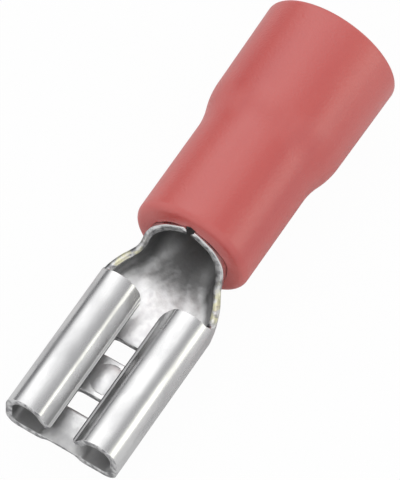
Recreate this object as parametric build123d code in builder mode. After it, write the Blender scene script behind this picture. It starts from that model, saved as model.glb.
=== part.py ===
from build123d import *
from math import atan, cos, degrees, radians, sin, tan
import os

os.makedirs("parts", exist_ok=True)

# Female spade terminal for a 4.8 x 0.5 tab, in mm.
# X runs from the mouth to the wire entry, Y across, Z up.
# X = 0 is the mouth, Z = 0 the underside of the two rolls.

sheet = 0.32                  # tin-plated brass

# rolled wings and floor
mouth_width = 5.50            # over both rolls
roll_height = 2.36
roll_length = 7.34
floor_raise = 0.25            # the floor between the rolls stands this much higher
floor_flat = 0.50             # half width of that raised strip
floor_foot = 1.20             # half width where the roll's underside begins
bottom_radius = 0.65
top_radius = 0.95
crest_slope = 8.0             # degrees, falling towards the middle
crest_run = 0.18
fold_radius = 0.50
face_slope = 62.0             # degrees, slanting face above the lip
face_run = 0.55
lip_radius = 0.22             # hollow on top of the lip that presses on the tab
lip_rise = 10.0               # degrees
lip_run = 0.04
lip_corner = 0.50             # rear corner of each wing
lip_front_corner = 0.15

# floor features
window_front = 1.67
window_length = 1.00
window_overrun = 0.15         # past the raised strip, into each roll's underside
window_corner = 0.12
bar_length = 1.90
dimple_radius = 0.60
dimple_height = 0.22
lead_in = 0.55
lead_in_drop = 0.16

# neck: its outline at the bend behind the rolls, halfway, and at the barrel's front rim
neck_wall = 1.40              # height of the side walls
neck_notch = 0.34             # length of the slope from roll to side wall
bend_run = 0.46
bend_narrowing = 0.04         # on each side
bend_raise = 0.12             # what is left there of the raised floor
bend_corner = 0.75
bend_wall_top = 1.75          # here and halfway the shoulder lies above the cut edge
roof_angle = 60.0             # degrees turned by the shoulder above the walls
middle_run = 1.26
middle_narrowing = 0.28
middle_raise = 0.03
middle_corner = 0.95
middle_flat = 0.40
middle_foot = 0.90
middle_wall_top = 2.15
rim_run = 2.28
rim_flare = 0.30              # the rim is wider than the barrel
rim_raise = 0.01
rim_corner = 1.15
rim_flat = 0.20
rim_foot = 0.40
rim_wall_top = 2.25
rim_shoulder_radius = 0.90
rim_roof_angle = 57.0         # degrees, slightly peaked towards the seam

# the rim leans back from the side walls to the seam
lean_front = 0.32             # the walls' upper edge ends this much before the rim's outline
lean_height = 2.30
lean_back = 0.31
lean_top = 3.20
rim_rounding = 0.22

# barrel
barrel_radius = 1.75
barrel_length = 4.30
barrel_lead = 1.68            # the rim closes into the round barrel over this length
barrel_turns = (0, 6, 9, 13, 27, 74, 97, 122, 180)       # degrees, matching the neck's edges
seam_width = 0.10
seam_mouth = 0.60
seam_mouth_length = 0.77

# insulating sleeve
sleeve_length = 11.58
sleeve_setback = 0.47         # behind the rim's sides
sleeve_wall = 1.01
narrow_length = 4.91
shoulder_length = 2.30
entry_step = 0.40             # radius gained by the shoulder
entry_flare = 0.07
entry_wall = 0.86
entry_chamfer = 0.15
mouth_clearance = 0.03        # the soft mouth is pressed into the neck's shape
front_rounding = 0.36
end_rounding = 0.12
funnel_gap = 0.15             # behind the barrel's end
funnel_length = 1.25

half_width = mouth_width / 2
cut_reach = mouth_width       # generous reach of cutting shapes
floor_top = floor_raise + sheet
between_levels = (floor_top + neck_wall) / 2      # above the floor, below the lips
window_half_width = floor_foot + window_overrun
bar_middle = window_front + window_length + bar_length / 2
window_step = (bar_length + window_length) / 2

barrel_axis = floor_raise + barrel_radius
rim_side = roll_length + rim_run
rim_top = rim_side + lean_back
rim_half_width = barrel_radius + rim_flare
barrel_start = rim_side + barrel_lead
barrel_end = barrel_start + barrel_length
seam_mouth_end = rim_top + seam_mouth_length

sleeve_front = rim_side + sleeve_setback
sleeve_end = sleeve_front + sleeve_length
sleeve_radius = barrel_radius + sleeve_wall
shoulder_start = sleeve_front + narrow_length
shoulder_bend = 2 * degrees(atan(entry_step / shoulder_length))
shoulder_radius = shoulder_length / (2 * sin(radians(shoulder_bend)))
entry_radius = sleeve_radius + entry_step
entry_bore_radius = entry_radius - entry_wall
funnel_start = barrel_end + funnel_gap
funnel_end = funnel_start + funnel_length


# closed outline across the neck; inset moves it inwards by the sheet's thickness
def neck_section(x, inset, drop, flat, foot, half, corner, wall_top, shoulder, roof):
    bend = 2 * degrees(atan(drop / (foot - flat)))
    bend_radius = (foot - flat) / (2 * sin(radians(bend)))
    apex = wall_top + (half - shoulder) / tan(radians(roof)) + (shoulder - inset) / sin(radians(roof))
    with BuildSketch(Plane.YZ.offset(x)) as section:
        with BuildLine():
            base = Line((0, floor_raise + inset), (flat, floor_raise + inset))
            down = JernArc(base @ 1, base % 1, bend_radius + inset, -bend)
            up = JernArc(down @ 1, down % 1, bend_radius - inset, bend)
            under = Line(up @ 1, (half - corner, floor_raise - drop + inset))
            side_bend = JernArc(under @ 1, under % 1, corner - inset, 90)
            side = Line(side_bend @ 1, (half - inset, wall_top))
            top = JernArc(side @ 1, side % 1, shoulder - inset, roof)
            Line(top @ 1, (0, apex))
            mirror(about=Plane.YZ)
        make_face()
    return section.sketch


# circle cut into the same number of edges as the neck's outline
def barrel_section(x, radius):
    with BuildSketch(Plane.YZ.offset(x)) as section:
        with BuildLine():
            for first, last in zip(barrel_turns, barrel_turns[1:]):
                angles = (first, (first + last) / 2, last)
                points = [(radius * sin(radians(a)), barrel_axis - radius * cos(radians(a))) for a in angles]
                ThreePointArc(*points)
            mirror(about=Plane.YZ)
        make_face()
    return section.sketch


# body of the neck from the rolls to its rim and on to the round barrel, closed on top
def neck_body(inset):
    channel = dict(drop=floor_raise, flat=floor_flat, foot=floor_foot, half=half_width, corner=bottom_radius,
                   wall_top=roll_height - top_radius, shoulder=top_radius, roof=roof_angle)
    bend = dict(channel, drop=bend_raise, half=half_width - bend_narrowing, corner=bend_corner,
                wall_top=bend_wall_top)
    middle = dict(channel, drop=middle_raise, flat=middle_flat, foot=middle_foot,
                  half=half_width - middle_narrowing, corner=middle_corner, wall_top=middle_wall_top)
    rim = dict(drop=rim_raise, flat=rim_flat, foot=rim_foot, half=rim_half_width, corner=rim_corner,
               wall_top=rim_wall_top, shoulder=rim_shoulder_radius, roof=rim_roof_angle)
    sections = [
        neck_section(roll_length, inset, **channel),
        neck_section(roll_length + bend_run, inset, **bend),
        neck_section(roll_length + middle_run, inset, **middle),
        neck_section(rim_side, inset, **rim),
    ]
    round_end = barrel_section(barrel_start, barrel_radius - inset)
    with BuildPart() as body:
        loft(sections)
        loft([sections[-1], round_end])
    return body.part


neck_outside = neck_body(0)
neck_inside = neck_body(sheet)
mouth_shape = neck_body(-mouth_clearance)


# rolled wings and floor: one half of the sheet's outline, then mirrored
with BuildPart() as receptacle:
    with BuildSketch(Plane.YZ) as wing_section:
        with BuildLine() as wing:
            arch = 2 * degrees(atan(floor_raise / (floor_foot - floor_flat)))
            arch_radius = (floor_foot - floor_flat) / (2 * sin(radians(arch)))
            floor = Line((0, floor_raise), (floor_flat, floor_raise))
            down = JernArc(floor @ 1, floor % 1, arch_radius, -arch)
            up = JernArc(down @ 1, down % 1, arch_radius, arch)
            under = Line(up @ 1, (half_width - bottom_radius, 0))
            side_bend = JernArc(under @ 1, under % 1, bottom_radius, 90)
            side = Line(side_bend @ 1, (half_width, roll_height - top_radius))
            top = JernArc(side @ 1, side % 1, top_radius, 90 + crest_slope)
            crest = Line(top @ 1, top @ 1 + (top % 1) * crest_run)
            fold = JernArc(crest @ 1, crest % 1, fold_radius, face_slope - crest_slope)
            face = Line(fold @ 1, fold @ 1 + (fold % 1) * face_run)
            hollow = JernArc(face @ 1, face % 1, lip_radius, -face_slope - lip_rise)
            lip = Line(hollow @ 1, hollow @ 1 + (hollow % 1) * lip_run)
            offset(amount=sheet, side=Side.LEFT)
        make_face()
        mirror(about=Plane.YZ)
    extrude(amount=roll_length)

lip_edge = (lip @ 1).X - sheet * sin(radians(lip_rise))

# neck: the floor runs on while the side walls converge and close into the barrel's rim
with BuildPart() as neck:
    add(neck_outside)
    add(neck_inside, mode=Mode.SUBTRACT)
    with BuildSketch(Plane.XZ) as above_walls:
        with BuildLine():
            edge = FilletPolyline(
                (roll_length, roll_height - sheet),
                (roll_length + neck_notch, neck_wall),
                (rim_side - lean_front, neck_wall),
                (rim_side, lean_height),
                (rim_top, lean_top),
                (rim_top, cut_reach),
                radius=rim_rounding,
            )
            Polyline(edge @ 1, (roll_length, cut_reach), edge @ 0)
        make_face()
    extrude(amount=cut_reach, both=True, mode=Mode.SUBTRACT)

with BuildPart() as terminal:
    add(receptacle.part)
    add(neck.part)
    with BuildSketch(Plane.YZ.offset(barrel_start)):
        with Locations((0, barrel_axis)):
            Circle(barrel_radius)
            Circle(barrel_radius - sheet, mode=Mode.SUBTRACT)
    extrude(amount=barrel_length)
    # windows in the floor
    with BuildSketch(Plane.XY):
        with Locations((bar_middle - window_step, 0), (bar_middle + window_step, 0)):
            RectangleRounded(window_length, 2 * window_half_width, window_corner)
    extrude(amount=between_levels, mode=Mode.SUBTRACT)
    # dimple pressed up out of the bar
    for top_level, mode in ((floor_top, Mode.ADD), (floor_raise, Mode.SUBTRACT)):
        with BuildSketch(Plane.XZ) as cap:
            with BuildLine():
                bow = ThreePointArc(
                    (bar_middle - dimple_radius, top_level),
                    (bar_middle, top_level + dimple_height),
                    (bar_middle + dimple_radius, top_level),
                )
                Line(bow @ 1, bow @ 0)
            make_face()
            split(bisect_by=Plane.YZ.offset(bar_middle))
        revolve(axis=Axis((bar_middle, 0, 0), (0, 0, 1)), mode=mode)
    # lead-in bevel on the floor's front edge
    with BuildSketch(Plane.XZ):
        with BuildLine():
            Polyline(
                (0, floor_top - lead_in_drop),
                (lead_in, floor_top),
                (0, floor_top),
                (0, floor_top - lead_in_drop),
            )
        make_face()
    extrude(amount=floor_foot, both=True, mode=Mode.SUBTRACT)
    # round corners of the wings
    for x, inward, corner in ((roll_length, -1, lip_corner), (0, 1, lip_front_corner)):
        with BuildSketch(Plane.XY.offset(between_levels)):
            with BuildLine():
                reach = corner * (1 - sin(radians(45)))
                Polyline(
                    (x + inward * corner, lip_edge),
                    (x, lip_edge),
                    (x, lip_edge + corner),
                )
                ThreePointArc(
                    (x, lip_edge + corner),
                    (x + inward * reach, lip_edge + reach),
                    (x + inward * corner, lip_edge),
                )
            make_face()
            mirror(about=Plane.XZ)
        extrude(amount=roll_height, mode=Mode.SUBTRACT)
    # seam along the top, opening into a V at the front rim
    with BuildSketch(Plane.XY.offset(barrel_axis)):
        with BuildLine():
            Polyline(
                (rim_side, seam_mouth / 2),
                (rim_top, seam_mouth / 2),
                (seam_mouth_end, seam_width / 2),
                (barrel_end, seam_width / 2),
                (barrel_end, -seam_width / 2),
                (seam_mouth_end, -seam_width / 2),
                (rim_top, -seam_mouth / 2),
                (rim_side, -seam_mouth / 2),
                close=True,
            )
        make_face()
    extrude(amount=cut_reach, mode=Mode.SUBTRACT)
terminal.part.label = "terminal"
export_step(terminal.part, "parts/terminal.step")

# sleeve: half of its long section, turned round the barrel's axis, with the neck pressed into it
with BuildPart() as insulating_sleeve:
    with BuildSketch(Plane(origin=(0, 0, barrel_axis), x_dir=(1, 0, 0), z_dir=(0, -1, 0))):
        with BuildLine():
            front_face = Line((sleeve_front, barrel_radius), (sleeve_front, sleeve_radius - front_rounding))
            front_round = JernArc(front_face @ 1, front_face % 1, front_rounding, -90)
            narrow = Line(front_round @ 1, (shoulder_start, sleeve_radius))
            spread = JernArc(narrow @ 1, narrow % 1, shoulder_radius, shoulder_bend)
            settle = JernArc(spread @ 1, spread % 1, shoulder_radius, -shoulder_bend)
            wide = Line(settle @ 1, (sleeve_end - end_rounding, entry_radius + entry_flare))
            end_round = JernArc(wide @ 1, (1, 0), end_rounding, -90)
            Polyline(
                end_round @ 1,
                (sleeve_end, entry_bore_radius + entry_chamfer),
                (sleeve_end - entry_chamfer, entry_bore_radius),
                (funnel_end, entry_bore_radius),
                (funnel_start, barrel_radius),
                front_face @ 0,
            )
        make_face()
    revolve(axis=Axis((0, 0, barrel_axis), (1, 0, 0)))
    add(mouth_shape, mode=Mode.SUBTRACT)
insulating_sleeve.part.label = "insulating_sleeve"
export_step(insulating_sleeve.part, "parts/insulating_sleeve.step")
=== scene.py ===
import math

import bmesh
import bpy
from mathutils import Matrix, Vector


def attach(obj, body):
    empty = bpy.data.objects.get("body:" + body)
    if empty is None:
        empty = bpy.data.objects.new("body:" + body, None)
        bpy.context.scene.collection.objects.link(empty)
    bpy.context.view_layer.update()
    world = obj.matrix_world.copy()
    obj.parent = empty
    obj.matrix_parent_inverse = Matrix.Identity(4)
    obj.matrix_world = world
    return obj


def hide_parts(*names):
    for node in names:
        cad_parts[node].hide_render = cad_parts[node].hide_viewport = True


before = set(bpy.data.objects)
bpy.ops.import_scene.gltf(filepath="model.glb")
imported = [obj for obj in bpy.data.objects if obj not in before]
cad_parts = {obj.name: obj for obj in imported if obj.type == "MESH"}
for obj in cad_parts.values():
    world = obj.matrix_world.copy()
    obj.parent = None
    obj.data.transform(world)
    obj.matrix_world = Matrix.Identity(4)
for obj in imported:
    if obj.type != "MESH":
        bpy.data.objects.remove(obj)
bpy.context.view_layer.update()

print("frame loaded")

millimetre = 0.001    # in metres
# the next three are in millimetres, as every shape is until its piece is finished
merge = 0.0003    # points closer together than this are one point
hair = 0.001    # too little to see
near = 0.01    # close enough to be the point that is looked for


# drawing helpers

def spread(first, last, cuts):    # evenly spaced values after the first, up to the last
    return [first + (last - first) * (i + 1) / cuts for i in range(cuts)]


def spreadThrough(places, cuts):    # the same through several places, each stretch with its own cuts
    values = []
    for first, last, count in zip(places, places[1:], cuts):
        values += spread(first, last, count)
    return values


def walk(start, moves):    # a line of points made of straight runs and bends
    points, heading = [Vector(start)], 0.0
    for kind, *rest in moves:
        if kind == "run":
            length, cuts = rest
            shares = cuts if isinstance(cuts, tuple) else spread(0, 1, cuts)
            base, way = points[-1], Vector((math.cos(heading), math.sin(heading)))
            points += [base + way * length * share for share in shares]
        else:
            radius, turn, cuts = rest
            step = math.radians(turn) / cuts
            for _ in range(cuts):
                heading += step / 2
                way = Vector((math.cos(heading), math.sin(heading)))
                points.append(points[-1] + way * 2 * radius * math.sin(abs(step) / 2))
                heading += step / 2
    return points


def arc(centre, radius, angles):    # angles from the second axis towards the first
    turns = [math.radians(angle) for angle in angles]
    return [Vector(centre) + Vector((math.sin(turn), math.cos(turn))) * radius for turn in turns]


def growRow(mesh, row, places):    # extrudes a row of edges and puts the new row where it belongs
    edges = [mesh.edges.get((a, b)) for a, b in zip(row, row[1:])]
    made = bmesh.ops.extrude_edge_only(mesh, edges=edges)["geom"]
    fresh = {tuple(v.co): v for v in made if isinstance(v, bmesh.types.BMVert)}
    nextRow = [fresh[tuple(v.co)] for v in row]
    for vert, place in zip(nextRow, places):
        vert.co = place
    return nextRow


def makeObject(mesh, name, materials):
    data = bpy.data.meshes.new(name)
    mesh.to_mesh(data)
    mesh.free()
    for material in materials:
        data.materials.append(material)
    piece = bpy.data.objects.new(name, data)
    bpy.context.scene.collection.objects.link(piece)
    return piece


def finishPiece(mesh, name, materials, node):    # millimetres to metres, smooth, on its body
    bmesh.ops.transform(mesh, matrix=Matrix.Scale(millimetre, 4), verts=mesh.verts)
    piece = makeObject(mesh, name, materials)
    for face in piece.data.polygons:
        face.use_smooth = True
    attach(piece, "root")
    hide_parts(node)
    print(name, "made with", len(piece.data.polygons), "faces")


# helpers for the finishes

def startMaterial(name):
    material = bpy.data.materials.new(name)
    material.use_nodes = True
    return material, material.node_tree, material.node_tree.nodes["Principled BSDF"]


def feed(tree, socket, value):    # another node's output is linked, a plain value is set
    if isinstance(value, bpy.types.NodeSocket):
        tree.links.new(value, socket)
    else:
        socket.default_value = value


def addPlaces(tree, kind="Object"):    # the place on the piece in metres, or the world's direction
    place = tree.nodes.new("ShaderNodeTexCoord")
    parts = tree.nodes.new("ShaderNodeSeparateXYZ")
    feed(tree, parts.inputs["Vector"], place.outputs[kind])
    return parts.outputs["X"], parts.outputs["Y"], parts.outputs["Z"]


def addNoise(tree, scale, detail, stretch=(1, 1, 1)):    # scale is per metre
    place = tree.nodes.new("ShaderNodeTexCoord")
    mapping = tree.nodes.new("ShaderNodeMapping")
    noise = tree.nodes.new("ShaderNodeTexNoise")
    feed(tree, mapping.inputs["Vector"], place.outputs["Object"])
    feed(tree, mapping.inputs["Scale"], stretch)
    feed(tree, noise.inputs["Vector"], mapping.outputs["Vector"])
    feed(tree, noise.inputs["Scale"], scale)
    feed(tree, noise.inputs["Detail"], detail)
    return noise.outputs["Fac"]


def addRamp(tree, factor, stops):
    ramp = tree.nodes.new("ShaderNodeValToRGB")
    elements = ramp.color_ramp.elements
    for spot, (position, colour) in enumerate(stops):
        element = elements[spot] if spot < 2 else elements.new(position)    # a new ramp has two already
        element.position = position
        element.color = (*colour, 1)
    feed(tree, ramp.inputs["Fac"], factor)
    return ramp.outputs["Color"]


def addRange(tree, factor, low, high, fromLow=0.3, fromHigh=0.7):    # most of a noise lies within 0.3 to 0.7
    span = tree.nodes.new("ShaderNodeMapRange")
    feed(tree, span.inputs["From Min"], fromLow)
    feed(tree, span.inputs["From Max"], fromHigh)
    feed(tree, span.inputs["To Min"], low)
    feed(tree, span.inputs["To Max"], high)
    feed(tree, span.inputs["Value"], factor)
    return span.outputs["Result"]


def addMath(tree, kind, *values):
    step = tree.nodes.new("ShaderNodeMath")
    step.operation = kind
    for socket, value in zip(step.inputs, values):
        feed(tree, socket, value)
    return step.outputs[0]


def addScaled(tree, colour, factor):
    shade = tree.nodes.new("ShaderNodeVectorMath")
    shade.operation = "SCALE"
    feed(tree, shade.inputs[0], colour)
    feed(tree, shade.inputs["Scale"], factor)
    return shade.outputs["Vector"]


def addMix(tree, share, first, second):    # of two colours, whose sockets share their names with others
    mix = tree.nodes.new("ShaderNodeMix")
    mix.data_type = "RGBA"
    shareSocket, firstSocket, secondSocket, result = 0, 6, 7, 2
    feed(tree, mix.inputs[shareSocket], share)
    feed(tree, mix.inputs[firstSocket], first)
    feed(tree, mix.inputs[secondSocket], second)
    return mix.outputs[result]


def addBump(tree, height, depth, strength, normal=None):
    bump = tree.nodes.new("ShaderNodeBump")
    feed(tree, bump.inputs["Distance"], depth)
    feed(tree, bump.inputs["Strength"], strength)
    feed(tree, bump.inputs["Height"], height)
    if normal:
        feed(tree, bump.inputs["Normal"], normal)
    return bump.outputs["Normal"]


# finishes: lengths and bump depths in metres, noise scales per metre

tinLook = {
    "dull": (0.56, 0.56, 0.565), "dullUpTo": 0.30,
    "pale": (0.74, 0.74, 0.74), "paleFrom": 0.62,
    "roughLow": 0.21, "roughHigh": 0.32,
    "cloud": {"scale": 900, "detail": 4.0, "stretch": (0.5, 1, 1)},
    "rolledLines": {"scale": 6000, "detail": 3.0, "stretch": (0.12, 1, 1)},
    "linesBump": {"depth": 0.000003, "strength": 0.4},
    "waves": {"scale": 1400, "detail": 2.0},
    "wavesBump": {"depth": 0.000015, "strength": 0.3},
}


def makeTin():
    look = tinLook
    material, tree, shader = startMaterial("tinPlating")
    cloud = addNoise(tree, **look["cloud"])
    stops = [(look["dullUpTo"], look["dull"]), (look["paleFrom"], look["pale"])]
    lines = addBump(tree, addNoise(tree, **look["rolledLines"]), **look["linesBump"])
    waves = addBump(tree, addNoise(tree, **look["waves"]), normal=lines, **look["wavesBump"])
    feed(tree, shader.inputs["Metallic"], 1.0)
    feed(tree, shader.inputs["Base Color"], addRamp(tree, cloud, stops))
    feed(tree, shader.inputs["Roughness"], addRange(tree, cloud, look["roughHigh"], look["roughLow"]))
    feed(tree, shader.inputs["Normal"], waves)
    return material


insideLook = {    # shades are shares of the plating's brightness
    "metal": 0.75,
    "dull": (0.86, 0.86, 0.87), "dullUpTo": 0.35,
    "pale": (0.95, 0.95, 0.95), "paleFrom": 0.60,
    "roughLow": 0.32, "roughHigh": 0.46,
    "cloud": {"scale": 3000, "detail": 4.0},
    "broadCloud": {"scale": 1300, "detail": 2.0},
    # darker towards the floor's front edge, over the coined lead-in and on past it
    "frontDarkening": 0.58, "frontDarkeningFrom": 0.0004, "frontDarkeningTo": 0.0019,
    # painted shade: the inside of the neck is darkened in the colour, with a cloudy edge
    "neckPaintedShade": 0.42, "neckFrom": 0.0078, "neckTo": 0.0095, "neckCloud": 0.0024,
    # painted shade: the side walls and the rolls' inner faces are darkened in the colour, above the floor and
    # out at the sides
    "wallPaintedShade": 0.42, "wallFrom": 0.00045, "wallTo": 0.00070, "wallSideFrom": 0.00115, "wallSideTo": 0.00150,
    "grain": {"scale": 5000, "detail": 4.0},
    "grainBump": {"depth": 0.00002, "strength": 0.5},
}


def makeInside():    # the sheet's inner side is duller; painted shade darkens it into the neck and inside the rolls, and it is darker towards the floor's front edge
    look = insideLook
    material, tree, shader = startMaterial("tinInside")
    x, y, z = addPlaces(tree)
    cloud = addNoise(tree, **look["cloud"])
    plating = addRamp(tree, cloud, [(look["dullUpTo"], look["dull"]), (look["paleFrom"], look["pale"])])
    clouds = addMath(tree, "SUBTRACT", addMath(tree, "ADD", cloud, addNoise(tree, **look["broadCloud"])), 1)
    cloudyX = addMath(tree, "ADD", x, addMath(tree, "MULTIPLY", clouds, look["neckCloud"]))
    # painted shade: darker into the neck, its edge made cloudy by the noise
    neck = addRange(tree, cloudyX, 1, look["neckPaintedShade"], look["neckFrom"], look["neckTo"])
    # darker towards the front edge of the floor
    coined = addRange(tree, x, look["frontDarkening"], 1, look["frontDarkeningFrom"], look["frontDarkeningTo"])
    # painted shade on the side walls and inside the rolls, above the floor and out at the sides
    raised = addRange(tree, z, 0, 1, look["wallFrom"], look["wallTo"])
    outer = addRange(tree, addMath(tree, "ABSOLUTE", y), 0, 1, look["wallSideFrom"], look["wallSideTo"])
    wall = addRange(tree, addMath(tree, "MULTIPLY", raised, outer), 1, look["wallPaintedShade"], 0, 1)
    # the painted shade of neck and walls, together with the darkening towards the front
    shade = addMath(tree, "MULTIPLY", addMath(tree, "MULTIPLY", neck, coined), wall)
    feed(tree, shader.inputs["Metallic"], look["metal"])
    feed(tree, shader.inputs["Base Color"], addScaled(tree, plating, shade))
    feed(tree, shader.inputs["Roughness"], addRange(tree, cloud, look["roughHigh"], look["roughLow"]))
    feed(tree, shader.inputs["Normal"], addBump(tree, addNoise(tree, **look["grain"]), **look["grainBump"]))
    return material


cutLook = {
    "dark": (0.26, 0.26, 0.27), "darkUpTo": 0.38,
    "pale": (0.68, 0.68, 0.68), "paleFrom": 0.58,
    "rough": 0.36,
    "patch": {"scale": 3500, "detail": 3.0},
    "patchBump": {"depth": 0.00001, "strength": 0.5},
    # bare brass shows only where the neck was cut
    "brass": (0.70, 0.68, 0.49),
    "brassFrom": 0.0078, "brassIn": 0.0081, "brassOut": 0.0090, "brassTo": 0.0096,
    "smear": {"scale": 2600, "detail": 3.0}, "smearFrom": 0.44, "smearTo": 0.58,
}


def makeCutEdge():
    look = cutLook
    material, tree, shader = startMaterial("cutEdge")
    x, *_ = addPlaces(tree)
    patch = addNoise(tree, **look["patch"])
    grey = addRamp(tree, patch, [(look["darkUpTo"], look["dark"]), (look["paleFrom"], look["pale"])])
    rise = addRange(tree, x, 0, 1, look["brassFrom"], look["brassIn"])
    fall = addRange(tree, x, 1, 0, look["brassOut"], look["brassTo"])
    smear = addRange(tree, addNoise(tree, **look["smear"]), 0, 1, look["smearFrom"], look["smearTo"])
    share = addMath(tree, "MULTIPLY", addMath(tree, "MULTIPLY", rise, fall), smear)
    feed(tree, shader.inputs["Metallic"], 1.0)
    feed(tree, shader.inputs["Base Color"], addMix(tree, share, grey, (*look["brass"], 1)))
    feed(tree, shader.inputs["Roughness"], look["rough"])
    feed(tree, shader.inputs["Normal"], addBump(tree, patch, **look["patchBump"]))
    return material


vinylLook = {
    "deep": (0.47, 0.052, 0.049), "deepUpTo": 0.25,
    "red": (0.52, 0.074, 0.065), "redAt": 0.45,
    "pale": (0.56, 0.104, 0.090), "paleFrom": 0.75,
    "streak": {"scale": 420, "detail": 3.0, "stretch": (0.18, 1, 1)},
    "rough": 0.34, "gloss": 1.0,
    "softness": 0.12, "softDepth": (0.0012, 0.0004, 0.0003),    # how light spreads below the surface
    "grain": {"scale": 9000, "detail": 3.0},
    "grainBump": {"depth": 0.00003, "strength": 0.6},
}


def makeVinyl():
    look = vinylLook
    material, tree, shader = startMaterial("redVinyl")
    streak = addNoise(tree, **look["streak"])
    stops = [(look["deepUpTo"], look["deep"]), (look["redAt"], look["red"]), (look["paleFrom"], look["pale"])]
    feed(tree, shader.inputs["Base Color"], addRamp(tree, streak, stops))
    feed(tree, shader.inputs["Roughness"], look["rough"])
    feed(tree, shader.inputs["Specular IOR Level"], look["gloss"])
    feed(tree, shader.inputs["Subsurface Weight"], look["softness"])
    feed(tree, shader.inputs["Subsurface Radius"], look["softDepth"])
    feed(tree, shader.inputs["Normal"], addBump(tree, addNoise(tree, **look["grain"]), **look["grainBump"]))
    return material


# terminal: one folded sheet, drawn as half of its outer skin, mirrored and thickened inwards

terminal = {    # millimetres and degrees
    "sheet": 0.32, "edgeRound": 0.03, "sharpFrom": 55,
    # floor and side walls
    "halfWidth": 2.75, "rollHeight": 2.36, "rollLength": 7.34,
    "floorRaise": 0.25, "floorFlat": 0.50, "floorFoot": 1.20,
    "bottomRadius": 0.65, "topRadius": 0.95,
    "aboveFloor": 0.80,    # a height between the floor and the lips
    # rolls, from the crest round to the lip
    "crestSlope": 8, "crestRadius": 1.55, "foldSlope": 26, "foldRadius": 0.60,
    "faceSlope": 58, "faceRun": 0.536, "lipRadius": 0.06, "lipSlope": 30, "lipRun": 0.155,
    "lipFrontCorner": 0.13, "lipCorner": 0.42, "cornerFade": 2,    # a corner ends within twice its size
    # windows, dimple and coined lead-in
    "windowFront": 1.67, "windowLength": 1.00, "barLength": 1.90,
    "windowHalfWidth": 1.35, "windowCorner": 0.12,
    "dimpleRadius": 0.68, "dimpleHeight": 0.15,
    "leadIn": 0.55, "leadInDrop": 0.16, "leadInHalfWidth": 0.70, "leadInFade": 0.80,
    # stations along the neck and what differs in its section there
    "bend": 7.80, "bendShape": {"drop": 0.12, "half": 2.71, "corner": 0.75, "wallTop": 1.75},
    "middle": 8.60,
    "middleShape": {"drop": 0.03, "flat": 0.40, "foot": 0.90, "half": 2.47, "corner": 0.95, "wallTop": 2.15},
    "rim": 9.62,
    "rimShape": {"drop": 0.01, "flat": 0.20, "foot": 0.40, "half": 1.95, "corner": 1.15, "wallTop": 2.12,
                 "roof": 53},
    "neckRoof": 60, "bendRow": 7.82,
    # the cut edge of the neck: level wall, slope up to the rolls, lean up to the rim
    "wall": 1.40, "notch": 7.68, "notchRound": 0.22,
    "leanStart": (9.30, 1.40), "leanEnd": (9.97, 3.20), "footRound": 0.60, "rimTop": 9.97,
    "barrelRadius": 1.75, "barrelAxis": 2.00, "barrelStart": 11.30, "barrelEnd": 15.60,
    "seamHalf": 0.05, "seamMouthHalf": 0.23, "seamMouthEnd": 10.70,
    # how many short pieces make each stretch, round the section
    "cuts": {"floor": 8, "arch": 5, "bottom": 10, "side": 4, "shoulder": 10, "roof": 6,
             "top": 14, "crest": 5, "fold": 7, "face": 6, "lipBend": 4, "lip": 2},
    "flatShares": (0.033, 0.167, 0.375, 0.583, 0.79, 1.0),    # cut at the windows' sides
    "ringTurns": (0, 6, 9, 13, 27, 74, 97, 122, 180),    # where the same stretches end round the barrel
    # and along the length
    "rowCuts": {"frontCorner": 3, "leadIn": 3, "front": 8, "window": 5, "bar": 32, "rear": 8,
                "rearCorner": 10, "slope": 6},
    "neckCuts": (3, 16, 5, 4, 16, 14),    # notch, bend, lean's foot, rim, rim's top, barrel's start and end
    "rimShares": (0.04, 0.1, 0.18, 0.28, 0.4, 0.55, 0.77, 1.0),    # up the side wall
}


def channelShape():    # the section of floor and side walls under the rolls
    t = terminal
    return {"drop": t["floorRaise"], "flat": t["floorFlat"], "foot": t["floorFoot"], "half": t["halfWidth"],
            "corner": t["bottomRadius"], "wallTop": t["rollHeight"] - t["topRadius"]}


def floorMoves(drop, flat, foot, half, corner, wallTop):    # from the floor's middle to the side wall's top
    t, cuts = terminal, terminal["cuts"]
    turn = 2 * math.atan(drop / (foot - flat))
    radius = (foot - flat) / (2 * math.sin(turn))
    return [
        ("run", flat, cuts["floor"]),
        ("bend", radius, -math.degrees(turn), cuts["arch"]),
        ("bend", radius, math.degrees(turn), cuts["arch"]),
        ("run", half - corner - foot, t["flatShares"]),
        ("bend", corner, 90, cuts["bottom"]),
        ("run", wallTop - (t["floorRaise"] - drop + corner), cuts["side"]),
    ]


def wingOutline():    # half of the receptacle's section, from the floor's middle to the lip
    t, cuts = terminal, terminal["cuts"]
    return walk((0, t["floorRaise"]), floorMoves(**channelShape()) + [
        ("bend", t["topRadius"], 90 + t["crestSlope"], cuts["top"]),
        ("bend", t["crestRadius"], t["foldSlope"] - t["crestSlope"], cuts["crest"]),
        ("bend", t["foldRadius"], t["faceSlope"] - t["foldSlope"], cuts["fold"]),
        ("run", t["faceRun"], cuts["face"]),
        ("bend", t["lipRadius"], t["lipSlope"] - t["faceSlope"], cuts["lipBend"]),
        ("run", t["lipRun"], cuts["lip"]),
    ])


def neckOutline(shoulder, roof, **floorShape):    # half of a section across the neck, closed over the top
    t, cuts = terminal, terminal["cuts"]
    start = (0, t["floorRaise"])
    moves = floorMoves(**floorShape) + [("bend", shoulder, roof, cuts["shoulder"])]
    reach = walk(start, moves)[-1].x
    return walk(start, moves + [("run", reach / math.sin(math.radians(roof)), cuts["roof"])])


def sectionCuts():    # the stretches of a section, in order
    cuts = terminal["cuts"]
    return [cuts["floor"], cuts["arch"], cuts["arch"], len(terminal["flatShares"]), cuts["bottom"],
            cuts["side"], cuts["shoulder"], cuts["roof"]]


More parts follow.
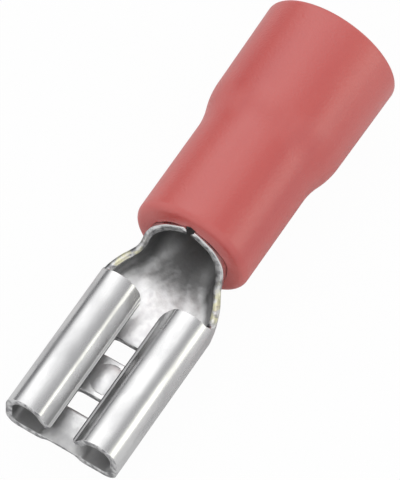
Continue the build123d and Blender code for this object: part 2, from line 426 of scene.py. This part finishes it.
def ringOutline():    # half of the barrel's circle, with the same points
    t = terminal
    angles = [0] + spreadThrough(t["ringTurns"], sectionCuts())
    return arc((0, t["barrelAxis"]), t["barrelRadius"], [180 - angle for angle in angles])


def neckOutlines():    # half of the section at each station
    t = terminal
    channel = dict(channelShape(), shoulder=t["topRadius"], roof=t["neckRoof"])
    changes = ({}, t["bendShape"], t["middleShape"], t["rimShape"])
    return [neckOutline(**dict(channel, **change)) for change in changes] + [ringOutline()]


neckStations = [terminal[place] for place in ("rollLength", "bend", "middle", "rim", "barrelStart")]
stationOutlines = neckOutlines()
# points of a section, counted from the floor's middle
sideStart, sideTop, roofStart, seamEdge = (sum(sectionCuts()[:count]) for count in (5, 6, 7, 8))
holdPoint = sideStart - 6    # up to here the points stay where the side wall is cut lower
searchPoint = sideStart - 8    # no cut edge lies lower


def flow(values, x):    # smooth curve through the neck's stations that never swings past them
    xs = neckStations
    rises = [(b - a) / (xb - xa) for a, b, xa, xb in zip(values, values[1:], xs, xs[1:])]
    slopes = [0] + [2 * a * b / (a + b) if a * b > 0 else 0 for a, b in zip(rises, rises[1:])] + [0]
    k = min(sum(x > station for station in xs[1:]), len(rises) - 1)
    h = xs[k + 1] - xs[k]
    s = (x - xs[k]) / h
    return (values[k] * (2 * s ** 3 - 3 * s ** 2 + 1) + slopes[k] * h * (s ** 3 - 2 * s ** 2 + s)
            + values[k + 1] * (3 * s ** 2 - 2 * s ** 3) + slopes[k + 1] * h * (s ** 3 - s ** 2))


def skin(spot, x):    # neck and barrel, at a point of the outline that may lie between two others
    low = min(int(spot), seamEdge - 1)
    ends = []
    for i in (low, low + 1):
        if x >= neckStations[-1]:
            ends.append(stationOutlines[-1][i])
        else:
            sides, heights = zip(*(outline[i] for outline in stationOutlines))
            ends.append(Vector((flow(sides, x), flow(heights, x))))
    return ends[0].lerp(ends[1], spot - low)


def sideSpot(x, level):    # where the side wall reaches a level
    for i in range(searchPoint, sideTop + 1):
        low, high = skin(i, x).y, skin(i + 1, x).y
        if high >= level:
            return i + (level - low) / (high - low)
    return float(sideTop)


def roundedStep(foot, slope, radius, away):    # rise of a cut edge that leaves a level line, its foot rounded
    turn = math.atan(slope)
    start = foot - radius * math.tan(turn / 2)
    if away <= start:
        return 0.0
    if away >= foot + radius * math.tan(turn / 2) * math.cos(turn):
        return (away - foot) * slope
    return radius - math.sqrt(radius ** 2 - (away - start) ** 2)


wing = wingOutline()
slopeTop = wing[sideTop + terminal["rowCuts"]["slope"]].y
notchSlope = (slopeTop - terminal["wall"]) / (terminal["notch"] - terminal["rollLength"])
footX, footZ = terminal["leanStart"]
leanSlope = (terminal["leanEnd"][1] - footZ) / (terminal["leanEnd"][0] - footX)
rimFoot = footX - terminal["footRound"] * math.tan(math.atan(leanSlope) / 2)    # its rounding starts here
rimSpot = sideSpot(rimFoot, terminal["wall"])


def wallEdge(x):    # height of the cut edge between the rolls and the rim
    return terminal["wall"] + roundedStep(-terminal["notch"], notchSlope, terminal["notchRound"], -x)


def leanEdge(x):    # height of the cut edge that leans up to the rim's top
    return footZ + roundedStep(footX, leanSlope, terminal["footRound"], x)


def rimFront(spot):    # where the rim starts at a point of the outline: its front edge is level with the lean
    rounds, halvings = 12, 20
    x = rimFoot
    for _ in range(rounds):
        z = skin(spot, x).y
        low, high = rimFoot, terminal["leanEnd"][0]
        for _ in range(halvings):
            between = (low + high) / 2
            if leanEdge(between) < z:
                low = between
            else:
                high = between
        x = low
    return x


def seamGap(x):    # half of the seam's width
    t = terminal
    share = min(max(t["seamMouthEnd"] - x, 0) / (t["seamMouthEnd"] - t["rimTop"]), 1)
    return t["seamHalf"] + (t["seamMouthHalf"] - t["seamHalf"]) * share


def windowSpans():    # where each window starts and ends
    t = terminal
    front = t["windowFront"]
    rear = front + t["windowLength"] + t["barLength"]
    return (front, front + t["windowLength"]), (rear, rear + t["windowLength"])


def rollRows():    # where a row of points stands along the rolls
    t, cuts = terminal, terminal["rowCuts"]
    front, rear = windowSpans()

    def acrossWindow(start, end):
        corners = start + t["windowCorner"], end - t["windowCorner"]
        return [corners[0]] + spread(*corners, cuts["window"]) + [end]

    rows = [t["lipFrontCorner"] * (1 - math.cos(math.radians(a))) for a in spread(0, 90, cuts["frontCorner"])]
    rows += spread(rows[-1], t["leadIn"], cuts["leadIn"]) + spread(t["leadIn"], front[0], cuts["front"])
    rows += acrossWindow(*front) + spread(front[1], rear[0], cuts["bar"]) + acrossWindow(*rear)
    rows += spread(rear[1], t["rollLength"] - t["lipCorner"], cuts["rear"])
    turns = spread(0, 90, cuts["rearCorner"])
    return rows + [t["rollLength"] - t["lipCorner"] * (1 - math.sin(math.radians(a))) for a in turns]


def cutBack(corner, away):    # how far a round corner is cut back at a distance from the lip's edge
    return corner - math.sqrt(corner ** 2 - (corner - away) ** 2) if away < corner else 0.0


def wingRow(x):    # the wing's points at a place along the rolls, with the lip's corners round
    t = terminal
    front, rear = t["lipFrontCorner"], t["lipCorner"]
    frontShare = max(0, 1 - x / (t["cornerFade"] * front))
    rearShare = max(0, 1 - (t["rollLength"] - x) / (t["cornerFade"] * rear))
    row, away, last = [], 0.0, wing[-1]
    for point in reversed(wing):
        away += (last - point).length
        last = point
        row.insert(0, (x + cutBack(front, away) * frontShare - cutBack(rear, away) * rearShare, *point))
    return row


def lowerSkin(i, x, top):    # floor and side wall, up to the given spot of the outline
    spot = i if i <= holdPoint else holdPoint + (i - holdPoint) * (top - holdPoint) / (sideTop - holdPoint)
    return (x, *skin(spot, x))


def upperSkin(i, x):    # above the side walls, ending at the seam
    if i > roofStart:
        i = roofStart + (i - roofStart) * (1 - seamGap(x) / skin(roofStart, x).x)
    return (x, *skin(i, x))


def growRolls(mesh):    # the wings and the floor between them
    row = [mesh.verts.new(place) for place in wingRow(0.0)]
    for pair in zip(row, row[1:]):
        mesh.edges.new(pair)
    for x in rollRows():
        row = growRow(mesh, row, wingRow(x))
    return row


def growSlope(mesh, row):    # from the rolls down to the neck's side walls, one point less in each row
    cuts = terminal["rowCuts"]["slope"]
    for step in range(1, cuts + 1):
        level = wing[sideTop + cuts - step].y
        x = terminal["rollLength"] + (slopeTop - level) / notchSlope
        top = sideSpot(x, wing[sideTop].y if step < cuts else wallEdge(x))
        shift = skin(top, x) - wing[sideTop]
        places = [lowerSkin(i, x, top) for i in range(sideTop + 1)]
        places += [(x, *(wing[sideTop + i] + shift)) for i in range(1, cuts - step + 1)]
        kept, lastCorner = row[:len(places)], row[len(places)]
        row = growRow(mesh, kept, places)
        mesh.faces.new((kept[-1], lastCorner, row[-1]))
    return row


def growNeck(mesh, row):    # floor and side walls of the neck, then the lower half of the barrel
    t = terminal
    edgeLine = []    # the upper half of the barrel grows from here
    places = (t["notch"], t["bendRow"], rimFoot, t["rim"], t["rimTop"], t["barrelStart"], t["barrelEnd"])
    for x in spreadThrough(places, t["neckCuts"]):
        underRim = x > rimFoot - hair
        top = rimSpot if underRim else sideSpot(x, wallEdge(x))
        row = growRow(mesh, row, [lowerSkin(i, x, top) for i in range(sideTop + 1)])
        if underRim:
            edgeLine.append(row[-1])
    return edgeLine


def growBarrelTop(mesh, edgeLine):    # the upper half of the barrel, from its leaning front rim to the seam
    barrelStart = terminal["barrelStart"]
    base = [vert.co.x for vert in edgeLine]
    spots = [rimSpot + (sideTop - rimSpot) * share for share in terminal["rimShares"]]
    for spot in spots + list(range(sideTop + 1, seamEdge + 1)):
        front = rimFront(spot)
        squeeze = (barrelStart - front) / (barrelStart - base[0])
        line = [front + (x - base[0]) * squeeze if x < barrelStart else x for x in base]
        edgeLine = growRow(mesh, edgeLine, [upperSkin(spot, x) for x in line])


def cutWindows(mesh):
    t = terminal
    doomed = []
    for face in mesh.faces:
        centre = face.calc_center_median()
        inWindow = any(start < centre.x < end for start, end in windowSpans())
        if inWindow and centre.z < t["aboveFloor"] and centre.y < t["windowHalfWidth"]:
            doomed.append(face)
    bmesh.ops.delete(mesh, geom=doomed, context="FACES")
    draw = t["windowCorner"] * (1 - math.sin(math.radians(45)))    # the corner points are drawn in
    for start, end in windowSpans():
        for x, inward in ((start, 1), (end, -1)):
            corner = Vector((x, t["windowHalfWidth"], 0))
            for vert in mesh.verts:
                if (vert.co - corner).length < near:
                    vert.co += Vector((inward * draw, -draw, 0))


def pressDimple(mesh):    # up out of the bar
    t = terminal
    middle = t["windowFront"] + t["windowLength"] + t["barLength"] / 2
    for vert in mesh.verts:
        away = math.hypot(vert.co.x - middle, vert.co.y)
        if vert.co.z < t["aboveFloor"] and away < t["dimpleRadius"]:
            vert.co.z += t["dimpleHeight"] * (1 - (away / t["dimpleRadius"]) ** 2)


def addOtherHalf(mesh):    # mirrored, joined along the middle and turned outer side out
    bmesh.ops.mirror(mesh, geom=mesh.verts[:] + mesh.edges[:] + mesh.faces[:], matrix=Matrix(),
                     merge_dist=merge, axis="Y")
    bmesh.ops.remove_doubles(mesh, verts=[v for v in mesh.verts if abs(v.co.y) < hair], dist=merge)
    bmesh.ops.recalc_face_normals(mesh, faces=mesh.faces)
    floorSpot = Vector((1, 0.1, terminal["floorRaise"]))
    floorFace = min(mesh.faces, key=lambda face: (face.calc_center_median() - floorSpot).length)
    if floorFace.normal.z > 0:
        bmesh.ops.reverse_faces(mesh, faces=mesh.faces)


def thicken(mesh):    # slots of the new faces: 0 outer side, 1 inner side, 2 cut edge
    shell = makeObject(mesh, "skin", [None] * 3)
    wall = shell.modifiers.new("wall", "SOLIDIFY")
    wall.thickness = terminal["sheet"]
    wall.offset = -1
    wall.use_even_offset = True
    wall.material_offset = 1
    wall.material_offset_rim = 2
    thick = bpy.data.meshes.new_from_object(shell.evaluated_get(bpy.context.evaluated_depsgraph_get()))
    bpy.data.objects.remove(shell)
    mesh = bmesh.new()
    mesh.from_mesh(thick)
    return mesh


def cutSeam(mesh):    # straight down through the barrel's top
    t = terminal
    for vert in mesh.verts:
        onTop = vert.co.x > t["rimTop"] - near and vert.co.z > t["barrelAxis"] + t["barrelRadius"] / 2
        if onTop and abs(vert.co.y) < seamGap(vert.co.x):
            vert.co.y = math.copysign(seamGap(vert.co.x), vert.co.y)


def coinLeadIn(mesh):    # the floor's upper side slopes down to its front edge
    t = terminal
    for vert in mesh.verts:
        if vert.co.x < t["leadIn"] and t["floorRaise"] + t["sheet"] / 2 < vert.co.z < t["aboveFloor"]:
            fade = 1 - min(1, max(0, (abs(vert.co.y) - t["leadInHalfWidth"]) / t["leadInFade"]))
            vert.co.z -= t["leadInDrop"] * (1 - vert.co.x / t["leadIn"]) * fade


def roundEdges(mesh):
    limit = math.radians(terminal["sharpFrom"])
    sharp = [edge for edge in mesh.edges if len(edge.link_faces) == 2 and edge.calc_face_angle() > limit]
    bmesh.ops.bevel(mesh, geom=sharp, offset=terminal["edgeRound"], offset_type="OFFSET", segments=2,
                    profile=0.5, affect="EDGES", material=-1, clamp_overlap=True)
    bmesh.ops.remove_doubles(mesh, verts=mesh.verts, dist=merge)


def makeTerminal():
    mesh = bmesh.new()
    row = growSlope(mesh, growRolls(mesh))
    growBarrelTop(mesh, growNeck(mesh, row))
    cutWindows(mesh)
    pressDimple(mesh)
    addOtherHalf(mesh)
    mesh = thicken(mesh)
    cutSeam(mesh)
    coinLeadIn(mesh)
    roundEdges(mesh)
    materials = [makeTin(), makeInside(), makeCutEdge()]
    finishPiece(mesh, "foldedTerminal", materials, "terminal")


# insulating sleeve: half of its long section, spun round the barrel's axis

sleeve = {    # millimetres
    "axis": terminal["barrelAxis"], "front": 10.09, "end": 21.67,
    "radius": 2.76, "entryRadius": 3.16, "endRadius": 3.23,
    "shoulder": 15.00, "shoulderEnd": 17.30,
    "frontRound": 0.36, "mouthRound": 0.05, "endRound": 0.12,
    "mouthGap": 0.005, "gripStart": terminal["barrelStart"], "bore": terminal["barrelRadius"],
    "funnelStart": 15.75, "funnelEnd": 17.00, "entryBore": 2.30, "chamfer": 0.15,
    "steps": 160,    # round the axis
    # how many short pieces make each stretch of the section
    "cuts": {"narrow": 20, "shoulder": 14, "wide": 20, "endRound": 4, "grip": 8, "mouthRound": 4,
             "frontRound": 8},
}


def sleeveOutline():    # distance along and distance from the axis, from the front over the outside and back
    s, cuts = sleeve, sleeve["cuts"]
    run = s["shoulderEnd"] - s["shoulder"]
    turn = 2 * math.atan((s["entryRadius"] - s["radius"]) / run)
    radius = run / (2 * math.sin(turn))
    narrowStart, mouth = s["front"] + s["frontRound"], s["front"] + s["mouthRound"]
    wideEnd = s["end"] - s["endRound"]
    points = walk((narrowStart, s["radius"]), [
        ("run", s["shoulder"] - narrowStart, cuts["narrow"]),
        ("bend", radius, math.degrees(turn), cuts["shoulder"]),
        ("bend", radius, -math.degrees(turn), cuts["shoulder"]),
    ])
    along = spread(s["shoulderEnd"], wideEnd, cuts["wide"])
    points += [Vector(place) for place in zip(along, spread(s["entryRadius"], s["endRadius"], cuts["wide"]))]
    points += arc((wideEnd, s["endRadius"] - s["endRound"]), s["endRound"], spread(0, 90, cuts["endRound"]))
    points += [Vector(place) for place in (
        (s["end"], s["entryBore"] + s["chamfer"]),
        (s["end"] - s["chamfer"], s["entryBore"]),
        (s["funnelEnd"], s["entryBore"]),
        (s["funnelStart"], s["bore"]),
        (s["gripStart"], s["bore"]),
    )]
    points += [Vector((x, s["bore"])) for x in spread(s["gripStart"], mouth, cuts["grip"])[:-1]]
    points += arc((mouth, s["bore"] + s["mouthRound"]), s["mouthRound"],
                  [180] + spread(180, 270, cuts["mouthRound"]))
    points += arc((narrowStart, s["radius"] - s["frontRound"]), s["frontRound"],
                  [270] + spread(270, 360, cuts["frontRound"])[:-1])
    return points


def neckRadius(x, y, z):    # how far the neck's outside lies from the barrel's axis in a direction
    tiny = 0.00001
    outline = [skin(i, x) - Vector((0, terminal["barrelAxis"])) for i in range(seamEdge + 1)]
    turn = math.atan2(y, -z)
    for low, high in zip(outline, outline[1:]):
        first, last = math.atan2(low.x, -low.y), math.atan2(high.x, -high.y)
        if first <= turn <= last + tiny:
            return low.lerp(high, min((turn - first) / max(last - first, tiny), 1)).length
    return outline[-1].length


def pressMouth(mesh):    # the soft mouth takes the neck's shape
    s = sleeve
    for vert in mesh.verts:
        y, z = vert.co.y, vert.co.z - s["axis"]
        away = math.hypot(y, z)
        if vert.co.x < s["gripStart"] and away < s["bore"] + s["mouthRound"] + hair:
            x = max(vert.co.x, s["front"] + s["mouthRound"])
            grow = max(neckRadius(x, abs(y), z) + s["mouthGap"] - s["bore"], 0)
            vert.co.y, vert.co.z = y * (away + grow) / away, s["axis"] + z * (away + grow) / away


def makeSleeve():
    s = sleeve
    mesh = bmesh.new()
    ring = [mesh.verts.new((point.x, 0, s["axis"] + point.y)) for point in sleeveOutline()]
    edges = [mesh.edges.new(pair) for pair in zip(ring, ring[1:] + ring[:1])]
    bmesh.ops.spin(mesh, geom=ring + edges, cent=(0, 0, s["axis"]), axis=(1, 0, 0), angle=2 * math.pi,
                   steps=s["steps"], use_merge=True)
    bmesh.ops.remove_doubles(mesh, verts=mesh.verts, dist=merge)
    pressMouth(mesh)
    bmesh.ops.recalc_face_normals(mesh, faces=mesh.faces)
    finishPiece(mesh, "vinylSleeve", [makeVinyl()], "insulating_sleeve")


makeTerminal()
makeSleeve()


# camera at the photograph's angle

shot = {    # degrees and metres
    "roll": 14.423, "tip": 24.478, "turn": 54.473,
    "distance": 0.26871, "focus": (0.0084710, 0.0, 0.0018715),
    "slide": (-0.0013103, 0.0016716), "lens": 476.7,    # the lens in millimetres
    "clip": (0.01, 10),
}


def makeCamera():
    roll, tip, turn = (math.radians(shot[angle]) for angle in ("roll", "tip", "turn"))
    along = Vector((math.cos(tip), -math.sin(roll) * math.sin(tip), math.cos(roll) * math.sin(tip)))
    across = Vector((0, -math.cos(roll), -math.sin(roll)))
    forward = Vector((math.sin(tip), math.sin(roll) * math.cos(tip), -math.cos(roll) * math.cos(tip)))
    right = along * math.cos(turn) + across * math.sin(turn)
    down = across * math.cos(turn) - along * math.sin(turn)
    slideRight, slideDown = shot["slide"]
    camera = bpy.data.objects.new("camera", bpy.data.cameras.new("camera"))
    camera.data.lens = shot["lens"]
    camera.data.clip_start, camera.data.clip_end = shot["clip"]
    place = Vector(shot["focus"]) - right * slideRight - down * slideDown - forward * shot["distance"]
    camera.matrix_world = Matrix.Translation(place) @ Matrix((right, -down, -forward)).transposed().to_4x4()
    bpy.context.scene.collection.objects.link(camera)
    bpy.context.scene.camera = camera


# floor, world and lamp

studio = {    # metres
    "floorLevel": (sleeve["axis"] - sleeve["endRadius"]) * millimetre,    # under the sleeve's widest place
    "floorSize": 2.0, "floorMiddle": 0.01,
    "floorColour": (0.70, 0.70, 0.705), "floorRough": 0.9,
    "floorGlow": 0.97,    # share of plain white that the camera sees in the floor
    "mirroredGlow": 0.05,    # and the share that shows where the floor is mirrored
    "strips": [    # soft strips along the terminal: place from right (0) to left (1), light
        (0.00, (0.72, 0.72, 0.72)),
        (0.03, (2.10, 2.10, 1.93)),
        (0.08, (1.90, 1.90, 1.75)),
        (0.13, (0.50, 0.50, 0.51)),
        (0.22, (0.46, 0.46, 0.47)),
        (0.29, (0.55, 0.55, 0.56)),
        (0.38, (0.82, 0.82, 0.83)),
        (0.49, (1.38, 1.38, 1.38)),
        (0.86, (1.38, 1.38, 1.38)),
        (0.92, (0.45, 0.45, 0.46)),
        (0.94, (0.12, 0.12, 0.13)),
        (1.00, (0.12, 0.12, 0.13)),
    ],
    "plain": (1.0, 1.0, 1.0),    # light beside the strips
    "reach": [    # of the strips: place from the mouth's side (0) to the sleeve's side (1), share
        (0.56, (0, 0, 0)),
        (0.63, (1, 1, 1)),
        (0.79, (1, 1, 1)),
        (0.86, (0, 0, 0)),
    ],
    "worldStrength": 1.0,
    "keyBox": {"place": (0.05, 0.25, 0.45), "aim": (0.01, 0, 0), "size": 0.35, "power": 0.15},
}


def makePaleFloor():
    material, tree, shader = startMaterial("paleFloor")
    feed(tree, shader.inputs["Base Color"], (*studio["floorColour"], 1))
    feed(tree, shader.inputs["Roughness"], studio["floorRough"])
    glow = tree.nodes.new("ShaderNodeEmission")
    feed(tree, glow.inputs["Color"], (1, 1, 1, 1))
    path = tree.nodes.new("ShaderNodeLightPath").outputs
    seen = addMath(tree, "MAXIMUM", path["Is Camera Ray"], path["Is Transmission Ray"])
    seen = addMath(tree, "MULTIPLY", seen, studio["floorGlow"])
    mirrored = addMath(tree, "MULTIPLY", path["Is Glossy Ray"], studio["mirroredGlow"])
    mix = tree.nodes.new("ShaderNodeMixShader")
    feed(tree, mix.inputs["Fac"], addMath(tree, "MAXIMUM", seen, mirrored))
    feed(tree, mix.inputs[1], shader.outputs["BSDF"])
    feed(tree, mix.inputs[2], glow.outputs["Emission"])
    feed(tree, tree.nodes["Material Output"].inputs["Surface"], mix.outputs["Shader"])
    return material


def makeFloor():
    mesh = bmesh.new()
    bmesh.ops.create_grid(mesh, x_segments=1, y_segments=1, size=studio["floorSize"] / 2,
                          matrix=Matrix.Translation((studio["floorMiddle"], 0, studio["floorLevel"])))
    floor = makeObject(mesh, "floor", [makePaleFloor()])


def makeWorld():
    world = bpy.data.worlds.new("studio")
    bpy.context.scene.world = world
    world.use_nodes = True
    tree = world.node_tree
    x, y, _ = addPlaces(tree, "Generated")
    strips = addRamp(tree, addRange(tree, y, 0, 1, -1, 1), studio["strips"])
    reach = addRamp(tree, addRange(tree, x, 0, 1, -1, 1), studio["reach"])
    background = tree.nodes["Background"]
    feed(tree, background.inputs["Color"], addMix(tree, reach, (*studio["plain"], 1), strips))
    feed(tree, background.inputs["Strength"], studio["worldStrength"])


def makeKeyBox():
    box = studio["keyBox"]
    data = bpy.data.lights.new("keyBox", "AREA")
    data.size, data.energy = box["size"], box["power"]
    lamp = bpy.data.objects.new("keyBox", data)
    lamp.location = box["place"]
    lamp.rotation_mode = "QUATERNION"
    lamp.rotation_quaternion = (Vector(box["aim"]) - Vector(box["place"])).to_track_quat("-Z", "Y")
    bpy.context.scene.collection.objects.link(lamp)


makeCamera()
makeFloor()
makeWorld()
makeKeyBox()
bpy.context.scene.view_settings.view_transform = "Standard"
print("camera and studio ready")

bpy.context.view_layer.update()
